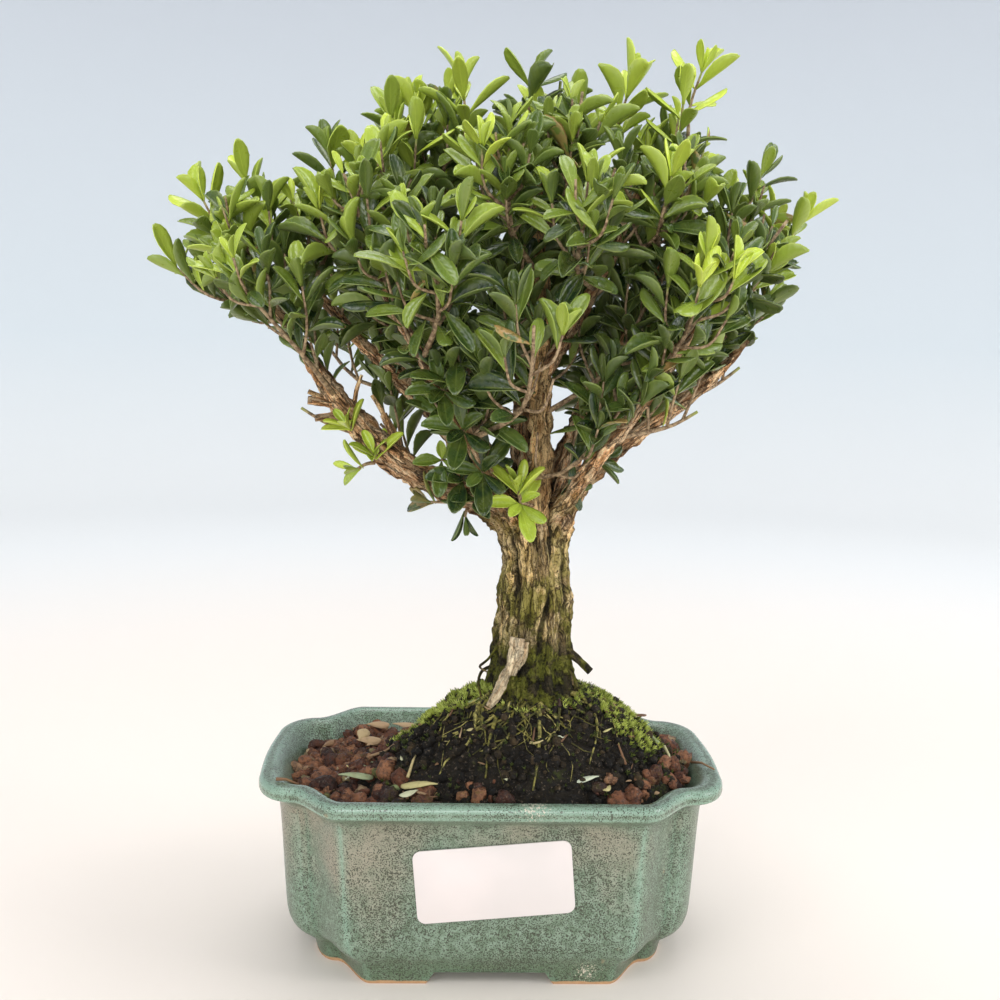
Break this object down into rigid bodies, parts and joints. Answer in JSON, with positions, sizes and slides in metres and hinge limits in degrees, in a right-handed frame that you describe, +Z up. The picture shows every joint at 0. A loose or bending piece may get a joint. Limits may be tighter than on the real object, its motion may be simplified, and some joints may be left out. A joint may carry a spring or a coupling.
{
  "type": "harland boxwood bonsai",
  "caption": "Small boxwood bonsai with a fluted trunk and a spreading leafy crown, growing from a soil mound in a celadon glazed pot with stepped-in corners.",
  "frame": {"origin": "middle of the bounding box's base, on the surface under the pot's feet", "axes": "+Z up along the trunk; the pot's long front panel with the label faces -Y; +X to the right seen from the front"},
  "size_m": [0.186, 0.1544, 0.2443],
  "materials": {
    "glaze": "celadon blue-green glaze with dense brown specks, satin gloss, bare tan clay under the feet",
    "screen": "dark plastic mesh over each drain hole",
    "label": "blank matt white paper",
    "soil": "loose reddish-brown fired clay grains and dark peaty earth",
    "bark": "deeply fluted corky bark, tan to olive with green algae",
    "mature_leaf": "leathery dark green leaf, satin upper face, paler underside",
    "young_leaf": "soft yellow-green new leaf, satin",
    "fallen_leaf": "dry pale cream leaf"
  },
  "bodies": {
    "root": {"pot": "glaze", "drain_screen_left": "screen", "drain_screen_right": "screen", "paper_label": "label", "soil": "soil", "trunk_and_branches": "bark", "fallen_leaf_1": "fallen_leaf", "fallen_leaf_2": "fallen_leaf", "fallen_leaf_3": "fallen_leaf", "young_spray_01": "young_leaf", "young_spray_02": "young_leaf", "mature_spray_03": "mature_leaf", "young_spray_04": "young_leaf", "young_spray_05": "young_leaf", "young_spray_06": "young_leaf", "mature_spray_07": "mature_leaf", "mature_spray_08": "mature_leaf", "mature_spray_09": "mature_leaf", "young_spray_10": "young_leaf", "young_spray_11": "young_leaf", "mature_spray_12": "mature_leaf", "mature_spray_13": "mature_leaf", "young_spray_14": "young_leaf", "mature_spray_15": "mature_leaf", "mature_spray_16": "mature_leaf", "mature_spray_17": "mature_leaf", "young_spray_18": "young_leaf", "mature_spray_19": "mature_leaf", "mature_spray_20": "mature_leaf", "mature_spray_21": "mature_leaf", "mature_spray_22": "mature_leaf", "mature_spray_23": "mature_leaf", "young_spray_24": "young_leaf", "young_spray_25": "young_leaf", "mature_spray_26": "mature_leaf", "young_spray_27": "young_leaf", "mature_spray_28": "mature_leaf", "mature_spray_29": "mature_leaf", "mature_spray_30": "mature_leaf", "young_spray_31": "young_leaf", "young_spray_32": "young_leaf", "mature_spray_33": "mature_leaf", "mature_spray_34": "mature_leaf", "mature_spray_35": "mature_leaf", "mature_spray_36": "mature_leaf", "mature_spray_37": "mature_leaf", "mature_spray_38": "mature_leaf", "mature_spray_39": "mature_leaf", "mature_spray_40": "mature_leaf", "mature_spray_41": "mature_leaf", "mature_spray_42": "mature_leaf"}
  },
  "joints": []
}
